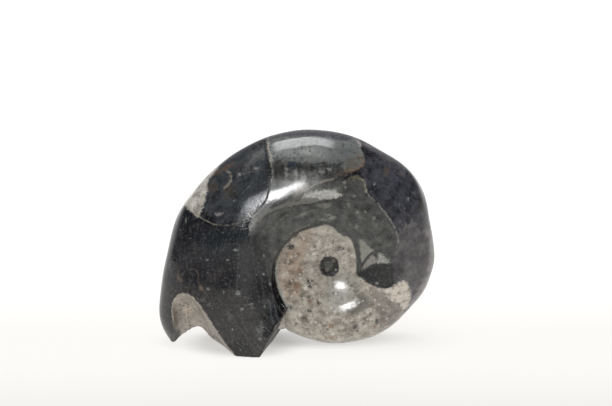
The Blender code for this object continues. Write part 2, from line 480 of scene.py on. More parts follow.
DISC_LOW = [(420, 330), (400, 360), (340, 370), (290, 352), (277, 347), (274, 339), (273.4, 332.5), (276, 326.5),
            (280.5, 320), (286, 312.3), (287.5, 308), (283.5, 301), (280, 295), (277.8, 288), (276.2, 279)]
RING_TOP = [(253, 216), (259, 211.5), (268, 206.5), (276, 202), (285, 196.7), (296, 191), (308, 186.8), (320, 182.6),
            (330, 179.8), (340, 178.5), (350, 180.5), (358, 178), (363, 180)]
WEDGE = [(357.5, 275), (359.5, 271.3), (364, 270.2), (370, 265.7), (377, 263.8), (385, 263.4), (392, 264.6),
         (394, 270), (392.5, 276), (394, 282), (390, 286.8), (383.5, 287.8), (377, 285.2), (370, 282), (364, 277.5)]



def either(*shapes):
    return lambda u, v: np.minimum.reduce([shape(u, v) for shape in shapes])


MAP = {
    # the big zones
    "chamber": area((268, 120), (268.3, 147), (270.3, 160), (272.6, 176), (269.6, 190), (265.8, 202), (258, 211.5),
                    (268, 208), (285, 199), (305, 190), (322, 184), (336, 178), (346, 172.5), (357, 169.5),
                    (363.5, 164), (364, 157), (361, 149), (357, 141), (352, 120)),
    "ring": area(*RING_TOP, *ARC[1:], (399, 262), (392, 268), (370, 285), (340, 290), (290, 290), (268, 275), (256, 262),
                 (250, 240), (249.5, 226)),
    "right": area((397, 246), (397, 236), (399.5, 232), (403, 227), (408, 224), (413, 222), (418, 226), (422, 231.5),
                  (425.5, 226), (429, 221), (450, 205), (450, 330), (420, 335), (404, 313), (400, 300), (394, 282),
                  (392.5, 264.6)),
    # painted rim reflection: a pale band along the right outline, where the turning flank catches the bright backdrop
    "right_rim_reflection": line(8.0, (432, 232), (434, 240), (435, 256), (432, 274), (424, 292), (413, 308)),
    "disc": area(*DISC_TOP, *DISC_RIGHT, *DISC_LOW),
    # the foot's lower flank: dark stone painted a lighter grey, partly a painted reflection of the pale floor
    "foot_floor_reflection": area((150, 292), (172, 284.5), (182, 283.7), (192, 284), (200, 288.5), (210, 290), (222, 291), (234, 288.3),
                 (243, 289.5), (249, 297), (256, 309), (262, 321), (265, 333), (262, 370), (150, 370)),
    "strip": area((240.5, 242), (248, 240), (255, 246), (256.5, 262), (255.5, 278), (253, 292), (247, 292), (239, 288),
                  (238.8, 262)),
    "shoulder": area((250, 236), (258, 234), (262, 244), (266, 258), (270, 272), (274, 286), (280, 300), (282, 318),
                     (276, 328), (266, 334), (260, 318), (254, 300), (252, 276), (252.5, 255)),
    "teal": area((205, 236), (226, 229), (246, 226), (252, 236), (246, 250), (226, 256), (208, 252)),
    # upper left
    "upper_left": area((216, 172), (228, 160), (245, 150), (262, 148), (268, 165), (268, 190), (258, 207), (240, 217),
                       (220, 219), (206, 212), (205, 190)),
    "calcite": area((218, 160), (216.5, 169.5), (211, 176), (208.3, 181), (206.5, 186), (207, 191), (205, 197),
                    (203.8, 203), (202, 209), (200, 214), (197.8, 217), (194, 213.8), (189.5, 210), (184.5, 205),
                    (176, 200), (185, 180), (200, 165)),
    "triangle": area((265.5, 143), (262, 147.5), (255.5, 151.5), (250.5, 157), (247, 164), (246.5, 168), (252, 163),
                     (258, 158.5), (264.5, 157), (266, 150)),
    "crescent": line(2.0, (227, 171), (229.6, 173), (231, 177), (230.2, 181.5), (227.5, 185.2), (224, 187.8)),
    "rust_streak": line(3.0, (214.5, 174), (219, 171.2), (224.5, 169), (229.5, 166), (233, 163)),
    "rust_faint": line(2.6, (226, 168.5), (236, 167.3), (247, 167)),
    "brown_spots": dots((230, 190.5, 4.0, 5.5), (213, 187, 5.5, 6.0), (226, 196, 3.0, 3.5), (218, 172.5, 3.5, 2.5)),
    "pale_blob": dots((218.3, 214, 3.4, 1.8), (239.2, 174.6, 1.6, 1.5), (256, 168.5, 2.2, 1.3)),
    "thin_left": either(line(0.9, (236.5, 178), (239.5, 175), (246, 172.8), (254, 171.2), (262, 169.5)),
                        line(0.9, (169.8, 265), (170.4, 262.6), (172.4, 261.8), (174, 263.4), (174.2, 266))),
    # the sutures
    "suture_top": line(1.0, *SUTURE[:7]),
    "suture_low": line(1.0, *SUTURE[10:]),
    "suture_wide": line(1.8, (268.3, 143), (268.6, 148), (269.6, 154), (270.9, 160)),
    "suture_dark": line(2.0, (269.6, 177), (269, 184), (268.6, 190), (267.6, 196), (264.5, 202), (259, 209)),
    "suture_shadow": line(1.1, (264.8, 139), (265, 148), (266.6, 158), (269.2, 166), (270.4, 173)),
    "arc": line(1.2, *ARC),
    "arc_head": line(2.8, (348, 179.8), (353, 178.3), (358, 177.3), (363, 179.5), (365, 185), (366.3, 191)),
    # the light chamber and what is round it
    "chamber_low": area((272, 164), (284, 160), (300, 163), (318, 164), (332, 163), (344, 168), (350, 174), (338, 178),
                        (322, 181), (305, 180), (290, 181), (276, 182), (272, 174)),
    "chamber_light": dots((306, 152, 6.5, 2.4), (303.5, 180, 3.2, 7.0), (296, 178, 1.5, 6.0), (286.3, 171, 1.1, 5.5),
                          (321, 171.5, 3.0, 2.0), (330, 169.5, 2.4, 1.5), (288, 183, 6.0, 1.6), (316, 179, 3.0, 2.0),
                          (279, 151, 2.0, 1.6), (337, 153, 6.0, 1.4)),
    "chamber_dark": dots((276, 160, 2.4, 4.0), (283, 168, 2.6, 3.0), (275.5, 172, 1.8, 4.0), (299, 166, 3.6, 2.4),
                         (312, 167.5, 2.8, 2.6), (340, 165, 4.6, 2.6), (291, 158, 2.4, 1.2), (322, 164, 4.0, 1.6)),
    "chamber_right": area((327, 150), (340, 147.5), (355, 149.5), (360, 156), (356, 163), (340, 162), (328, 158)),
    "chamber_dot": dots((292, 165, 4.6, 3.8)),
    "olive": area((347, 161), (352, 158.5), (358, 158), (360.5, 161), (358.5, 165.5), (352.5, 168.5), (347, 168)),
    "rust_arc": line(3.0, (359, 156.5), (362.6, 158.8), (363.6, 162), (361.8, 165.4), (358.3, 168.3), (352, 170.8),
                     (345, 171.7)),
    "rust_tail": line(2.6, (345, 171.5), (339.5, 173.5), (337, 177)),
    "venter": area((262, 120), (266, 142), (272, 139.6), (281, 136.9), (292, 136.4), (303, 136.4), (312, 137.4),
                   (322, 139), (330, 140.6), (338, 141), (346, 140.2), (353, 137.4), (360, 120)),
    "chip": area((356.6, 140.6), (359.6, 140.8), (361.8, 146), (359, 146.3)),
    "dashes": line(1.2, (364.5, 144), (368, 145.6), (371, 147.4)),
    "rim_right": area((362, 142), (366, 149.5), (376, 154.5), (386, 159.5), (396, 165), (404, 171), (412, 165),
                      (400, 150), (380, 138)),
    "black_right": area((366, 158), (378, 158), (394, 165), (408, 174), (419, 188), (427, 205), (430, 216), (426, 225),
                        (422, 231.5), (418, 226), (413, 222), (408, 224), (403, 227), (399.5, 232), (395, 228.5),
                        (388, 215), (379, 204), (369, 194), (366, 184), (362, 176), (362, 168)),
    "rust_right": dots((386, 169.5, 2.6, 1.5), (387, 172.5, 1.7, 2.6), (401.5, 174, 2.6, 1.3), (383, 157, 2.0, 1.2),
                       (392, 161, 2.0, 1.1), (421, 208, 1.4, 4.0)),
    "olive_right": line(1.2, (405, 214), (409, 215.5), (411.3, 218.5), (411.6, 221)),
    # the grey ring
    "ring_dark": area((270, 207), (277, 200.5), (284, 194.8), (291, 191), (297, 189.6), (298.5, 192.5), (291, 197.5),
                      (284, 202.5), (276, 207.5), (271, 209.5)),
    "ring_beige": area((295, 191), (301, 187.6), (308, 186.6), (309, 189.8), (304, 193.6), (298, 197.2), (294, 197)),
    "ring_left": line(3.4, (253, 226), (258.5, 219), (265, 213.6), (273, 209.8), (282, 206.4), (291, 202.6),
                      (299, 198.6)),
    # a pale band on the grey ring: pale stone that also carries a painted continuation of the flank's highlight
    "pale_band_and_sheen": area((303.5, 196.8), (308, 193.2), (316, 191), (325, 190), (333, 190.4), (339, 192.8), (343.5, 194.6),
                      (337, 196.8), (331, 199.2), (322, 198.4), (312, 197.8)),
    "grey_band": area((281, 210), (291, 203.8), (300, 199.6), (304, 197), (312, 197.8), (322, 199), (331, 199),
                      (322, 201.4), (315, 202.8), (306, 204.2), (297, 206), (288, 208.8)),
    "band_above": line(1.1, (289, 201.8), (296, 197.6), (301, 194.6), (306, 191.6), (311, 189), (316, 186.2),
                       (322, 183.2), (330, 181), (338, 179.2)),
    "beige_above": line(1.5, (310, 187.2), (318, 183.6), (325, 180.9), (333, 178.9)),
    "band_below": line(1.5, (262, 219.5), (268, 215), (276, 211), (284, 208.8), (292, 207), (300, 205.2), (310, 204.4),
                       (318, 202.2), (326, 200.6), (334, 199.4)),
    "ring_triangle": area((317.5, 205.4), (323, 203.4), (331, 203), (329.4, 207), (325, 208.3)),
    "ring_block": area((331, 199.5), (336, 197.5), (341, 198), (341, 210), (336, 212.5), (330.5, 210)),
    "ring_spots": dots((332.5, 217.5, 2.8, 1.9), (328, 214.8, 2.2, 1.3), (322, 219.5, 2.6, 1.2), (358, 212, 1.8, 1.4),
                       (365, 211.5, 1.5, 1.4), (374, 218, 1.4, 1.6), (357, 227, 1.2, 1.8), (354, 196, 1.5, 1.0),
                       (303, 214.5, 2.2, 1.3), (337, 188.5, 2.0, 0.9), (349, 205, 1.2, 1.6)),
    "ring_streaks": either(line(1.6, (273, 229), (278, 222.5), (283, 217.5), (288, 214.6)),
                           line(1.4, (296, 217.5), (302, 214), (309, 211.2), (318, 210)),
                           line(1.0, (262, 236), (266, 229), (271, 222.5), (277, 217))),
    "ring_streaks2": line(1.5, (290, 234), (296, 230.4), (303, 227.2), (309, 225.4)),
    "ring_blue": dots((299, 219.5, 4.5, 1.6), (312, 216.5, 3.0, 1.2), (286, 224, 2.4, 2.0), (340, 221, 3.0, 1.6)),
    "ring_edge": line(2.6, (287, 243), (293, 236.8), (300, 231.6), (306, 228.2), (313, 226.2), (321, 223.8),
                      (328, 223.2), (335, 226)),
    # right of the disc
    "dark_band": area((344, 229), (350, 233), (355, 239), (359.3, 247), (360, 256), (361, 264), (360, 272), (356.2, 273.5),
                      (357, 266), (356.7, 257), (355, 249), (352.5, 241.5), (348, 236)),
    "pale_green": area((359, 240), (363.5, 240.8), (367, 245), (371.5, 248.4), (375, 250.4), (370, 253.2),
                       (366, 257.4), (362.4, 262.2), (361, 257), (360.2, 249)),
    "thin_dark": line(1.3, (361.5, 267), (365, 260.5), (369.5, 254.8), (373.5, 252), (379, 251), (385, 253)),
    "pale_small": area((362, 269.4), (365.5, 262.6), (369.5, 257.4), (373, 254.8), (375.6, 258.4), (377.6, 262.6),
                       (372, 264.3), (367, 267.4)),
    "pale_patch": area((378.5, 254), (383, 254.8), (385.5, 258.4), (389, 262.2), (383, 262.8), (377.6, 262.3),
                       (378.6, 258)),
    "wedge": area(*WEDGE),
    "wedge_right": area((391, 264), (397, 262), (402, 268), (400, 277), (395, 283), (391, 280), (391, 270)),
    # the pale disc
    "spot": dots((329.5, 266.3, 10.0, 10.3)),
    "spot_middle": dots((328.2, 265.2, 4.6, 4.4)),
    "cream": area((385, 291), (389, 288.5), (395, 286.5), (400, 283.2), (404.5, 281.8), (407.8, 285.5), (409.5, 292),
                  (409.4, 299.5), (406.8, 306), (403.5, 309), (400.5, 303.5), (395, 301.5), (389, 297)),
    "cream_rim": line(1.8, (405, 281), (409.3, 285), (411.3, 292), (411.3, 300), (408.4, 307.5), (404, 314)),
    "diagonal": area((346, 307.5), (351, 302.5), (358, 299.2), (365, 295.7), (369.5, 298), (371, 303), (366, 309.5),
                     (359, 314), (352, 314.5), (347.5, 312)),
    "low_grey": area((371, 288), (382, 291), (390, 300), (402, 306), (402, 316), (392, 324), (380, 322), (376, 308),
                     (371, 298)),
    # a greenish-grey patch round the disc's highlight: partly the disc's own colour, partly a painted soft glow of
    # reflected light
    "greenish_patch_and_glow": area((329, 276), (340, 273), (351, 278), (360, 284), (364, 292), (356, 298), (347, 305), (342, 313),
                 (332, 313), (326, 304), (325, 288)),
    "white_streaks": area((315, 246), (319, 239.5), (321.5, 241), (318, 247.5), (316.3, 253.6), (312.4, 254),
                          (313, 249)),
    "tan": area((279, 262), (288, 248), (300, 236), (312, 231), (310, 244), (304, 258), (303, 270), (297, 280),
                (300, 290), (292, 300), (284, 296), (279, 282)),
    "rust_disc": dots((300, 272, 3.2, 4.3), (296.8, 285.5, 4.4, 3.4), (309.2, 301.5, 2.1, 3.2), (330, 326, 3.8, 2.6),
                      (296, 291, 2.6, 2.0), (375, 326, 2.0, 2.2), (372, 305, 1.6, 2.4), (371, 293, 1.8, 1.2),
                      (331, 338, 4.0, 1.6), (366, 333.5, 3.2, 1.2), (292, 262, 2.2, 2.8), (347, 318, 1.6, 1.6)),
    "black_disc": dots((308.2, 281.6, 1.6, 2.6), (310.2, 286, 1.8, 2.4), (312, 281, 1.2, 1.0), (291.5, 247, 3.4, 2.6),
                       (290.5, 283, 1.6, 2.2), (289.5, 307.5, 2.2, 2.6), (318, 303, 1.4, 1.6), (309, 311.5, 2.2, 1.6),
                       (305, 318, 2.4, 1.4), (355, 327, 2.2, 1.8), (377, 321, 1.6, 2.6), (333, 243, 1.2, 1.0),
                       (343, 249, 1.3, 1.6)),
    "white_disc": dots((305.5, 288.5, 2.0, 1.8), (314, 254, 1.8, 1.4), (333, 334, 1.5, 1.3), (300.5, 315, 1.5, 1.3)),
    # painted highlights: two pale lines along the disc's left edge, where its rounded edge catches the light
    "disc_edge_highlight": line(2.0, (276.6, 266), (276.6, 274), (277.6, 283), (280.2, 291.5), (284, 299.5), (287.8, 306.5),
                 (290, 311)),
    "disc_edge_highlight_2": line(1.0, (278.6, 289), (281.2, 296), (285, 302.8), (290.2, 308.8)),
    # the crevice between the body's wall and the disc: black stone darkened further by painted shade
    "seam_black_and_shade": area((273, 262), (275, 262), (275, 278), (277.6, 290), (281.5, 299), (286.2, 308), (286.4, 312),
                       (281, 318.6), (276, 324), (274.5, 310), (272, 290), (271.5, 272)),
    # the body chamber
    "vein": line(1.0, (238.6, 249), (239, 256), (238.4, 266), (237.6, 277), (236.6, 289)),
    "rust_loop": line(0.9, (181, 277), (183.4, 273.4), (186.2, 270.6), (190, 269), (194, 269.3), (196.9, 271.8),
                      (198.3, 276), (198, 280), (199.2, 284), (202, 288.3), (204.3, 292.3), (207, 294.6)),
    "rust_blob": dots((201, 288.2, 2.3, 2.6), (178.5, 277, 1.2, 3.0), (181, 280.5, 1.6, 1.4)),
    "loop_dark": dots((190.5, 277, 6.4, 6.2)),
    "white_dots": dots((235.8, 250, 2.2, 1.1), (377, 283.2, 1.6, 1.2), (238, 293, 2.3, 2.2), (208.3, 289, 1.4, 1.2), (242, 309, 1.5, 1.3), (228, 260, 1.3, 1.0),
                       (207, 260, 1.2, 1.1), (200, 258, 0.8, 0.8), (207.3, 273, 0.9, 0.8), (263.3, 274.3, 1.3, 1.3),
                       (270.3, 284, 1.5, 1.5), (264.6, 306.6, 1.0, 1.0), (232.6, 329, 0.8, 1.0), (260, 339, 1.5, 1.1),
                       (245, 297.5, 0.8, 0.6), (223.5, 292, 0.8, 1.3), (251, 304, 2.0, 0.7), (252, 308, 1.6, 0.6),
                       (264, 256, 0.9, 1.4), (374.3, 184.2, 1.2, 1.2), (400.3, 221.3, 0.8, 0.8), (344.5, 182.4, 1.5, 1.4),
                       (346, 187.5, 1.3, 1.3), (408, 199, 1.0, 1.4), (186, 220.5, 0.6, 1.8), (248, 207, 0.8, 1.0)),
    "grey_dots": dots((202.5, 300, 2.6, 2.0), (209.5, 305, 1.8, 1.8), (230.5, 317, 2.2, 3.0), (245, 305, 1.8, 1.3),
                      (227.5, 313, 1.3, 1.2), (218, 324, 1.6, 1.0), (248, 299, 1.4, 1.1), (261, 322, 1.6, 2.4)),
    "blue_streaks": either(line(1.4, (268.5, 300), (270.5, 308), (271.2, 316), (273.5, 323)),
                           line(1.2, (272.6, 296), (274.4, 304), (276.3, 313), (278, 320))),
    "foot_brown": line(1.8, (246, 338), (249.5, 343), (254, 349), (258, 352)),
    # painted shade: a black band along the foot's bottom, where it meets the table
    "foot_contact_shade": area((222, 347), (232, 344), (243, 341), (250, 345), (254, 351), (254, 362), (228, 362)),
    "tip_dark": area((155, 318), (165, 316), (171, 321), (175, 328), (180, 335), (176, 345), (155, 345)),
    "streak_a": line(1.0, (258, 262), (260, 275), (262.6, 289), (265.6, 302)),
    "streak_b": line(1.0, (266, 262), (268.2, 274), (270, 286)),
    "streak_c": line(0.9, (253, 252), (254.4, 266), (255.5, 280), (257.4, 296)),
    "facet_cream": dots((188, 310, 5.0, 5.5), (180, 303, 3.0, 2.0)),
    "facet_edge": line(1.3, (186, 293.5), (193, 298), (198, 304.5), (203, 312), (208, 320.5), (214, 330)),
    "disc_brown": dots((286, 262, 4.0, 5.0), (291, 272, 3.4, 3.0), (297, 255, 4.0, 3.0), (288, 285, 2.6, 5.0),
                       (303, 318, 5.0, 4.0), (318, 322, 4.0, 3.0), (296, 302, 3.0, 2.6), (322, 312, 3.4, 2.0),
                       (338, 322, 4.2, 3.0), (352, 322, 3.6, 2.6), (366, 319, 3.0, 3.0), (380, 309, 3.0, 3.6),
                       (389, 304, 2.6, 2.0), (383, 321, 3.0, 2.0), (310, 334, 4.0, 1.6), (342, 331, 3.0, 2.0)),
    "disc_pale": dots((284, 275, 2.4, 2.6), (296, 245, 4.0, 2.6), (311, 262, 3.0, 4.0), (322, 232, 6.0, 3.0),
                      (345, 262, 3.0, 5.0), (312, 292, 4.0, 2.6), (296, 322, 3.6, 2.6), (350, 289, 4.0, 3.6),
                      (364, 290, 4.0, 2.4), (329, 303, 3.0, 2.0), (283, 325, 4.0, 2.6), (375, 299, 3.0, 1.8),
                      (330, 246, 4.0, 2.2), (361, 326, 3.0, 1.6)),
}

chart_u, chart_v = on_sheet(points[:, 0], points[:, 1], points[:, 2] + AXIS_Z)


def store(name, values):
    layer = mesh.attributes.new(name, "FLOAT", "POINT")
    layer.data.foreach_set("value", np.asarray(values, np.float32))


for name, distance in MAP.items():
    store(name, np.clip(distance(chart_u, chart_v), -60.0, 60.0))

# the faces left by the saw: the hollow's two sides, the end under the seam and the flats
height = points[:, 2] + AXIS_Z
cut = np.full(len(points), 9.0)
near = (points[:, 0] < -19.0) & (height < 22.0)
cut[near] = np.abs(hollow_field(points[near, 0], np.abs(points[near, 1]), height[near]))
s = coil_sections(points[:, 0], points[:, 2])
away = np.clip(np.abs(points[:, 1]) / s["cap_half"], 0.0, 1.0)
cap = np.abs(s["last_angle"] - (s["keel_end"] + (s["flank_end"] - s["keel_end"]) * away)) * s["r"] * math.pi / 180.0
cut_end = np.where(s["last_there"] & (height < 13.0) & (points[:, 0] < -8.0), cap, 9.0)
store("cut_hollow", cut - 0.30)
store("cut_end", np.minimum(cut_end, height) - 0.25)
store("around", np.arctan2(points[:, 2], points[:, 0] + 0.3) * 2.6)
store("outward", np.hypot(points[:, 0], points[:, 2]) + 0.5 * np.abs(points[:, 1]))


# --- material: colours as they look in the picture's light ---------------------------
LIT = 0.88  # how much light a white, dull surface on the flank sends back
SHEEN = 0.027  # what the polish adds


def seen(r, g, b):
    linear = []
    for c in (r, g, b):
        c /= 255.0
        linear.append(c / 12.92 if c <= 0.04045 else ((c + 0.055) / 1.055) ** 2.4)
    mean = sum(linear) / 3.0
    gain = max((mean - SHEEN) / LIT, 0.004) / mean
    return (*(min(c * gain, 0.9) for c in linear), 1.0)


mat = bpy.data.materials.new("polished_fossil_stone")
mat.use_nodes = True
tree = mat.node_tree
shader = tree.nodes["Principled BSDF"]
mesh.materials.append(mat)


def put(kind, settings=None, **values):
    node = tree.nodes.new(kind)
    for key, value in (settings or {}).items():
        setattr(node, key, value)
    for key, value in values.items():
        socket = node.inputs[key.replace("_", " ")]
        if hasattr(value, "is_output"):
            tree.links.new(value, socket)
        else:
            socket.default_value = value
    return node


def math_node(operation, a, b=None, c=None):
    node = put("ShaderNodeMath", {"operation": operation})
    for socket, value in zip(node.inputs, (a, b, c)):
        if value is None:
            continue
        if hasattr(value, "is_output"):
            tree.links.new(value, socket)
        else:
            socket.default_value = value
    return node.outputs[0]


def ramp(value, low, high, start=0.0, end=1.0, smooth=True):
    node = put("ShaderNodeMapRange", {"interpolation_type": "SMOOTHSTEP" if smooth else "LINEAR"})
    tree.links.new(value, node.inputs["Value"])
    node.inputs["From Min"].default_value = low
    node.inputs["From Max"].default_value = high
    node.inputs["To Min"].default_value = start
    node.inputs["To Max"].default_value = end
    return node.outputs["Result"]


def blend(a, b, factor, mode="MIX"):
    node = put("ShaderNodeMix", {"data_type": "RGBA", "blend_type": mode, "clamp_factor": True})
    for socket, value in ((node.inputs[0], factor), (node.inputs[6], a), (node.inputs[7], b)):
        if hasattr(value, "is_output"):
            tree.links.new(value, socket)
        else:
            socket.default_value = value
    return node.outputs[2]


place = put("ShaderNodeTexCoord").outputs["Object"]
in_mm = put("ShaderNodeVectorMath", {"operation": "SCALE"})
tree.links.new(place, in_mm.inputs[0])
in_mm.inputs["Scale"].default_value = 1000.0
in_mm = in_mm.outputs[0]


def noise(size, detail=3.0, rough=0.55, seed=0.0, spread=0.2):
    """Noise with grains of about that size in mm, stretched to run from 0 to 1."""
    shift = put("ShaderNodeVectorMath", {"operation": "ADD"})
    tree.links.new(in_mm, shift.inputs[0])
    shift.inputs[1].default_value = (seed, seed * 1.7, -seed * 0.6)
    node = put("ShaderNodeTexNoise", Scale=1.0 / size, Detail=detail, Roughness=rough)
    tree.links.new(shift.outputs[0], node.inputs["Vector"])
    return ramp(node.outputs["Fac"], 0.5 - spread, 0.5 + spread, smooth=False)


GRAIN = noise(0.35, 2.0, seed=3.0)
FLECK = noise(0.9, 3.0, seed=11.0)
MOTTLE = noise(2.4, 4.0, seed=23.0)
CLOUD = noise(7.0, 3.0, seed=31.0)
NOISES = {"grain": GRAIN, "fleck": FLECK, "mottle": MOTTLE, "cloud": CLOUD}


def inside(name, soft=0.6, wobble=0.0, by="fleck", amount=1.0):
    node = put("ShaderNodeAttribute", {"attribute_type": "GEOMETRY", "attribute_name": name})
    value = node.outputs["Fac"]
    if wobble:
        value = math_node("MULTIPLY_ADD", NOISES[by], 2.0 * wobble, value)
    return ramp(value, wobble - soft, wobble + soft, amount, 0.0)


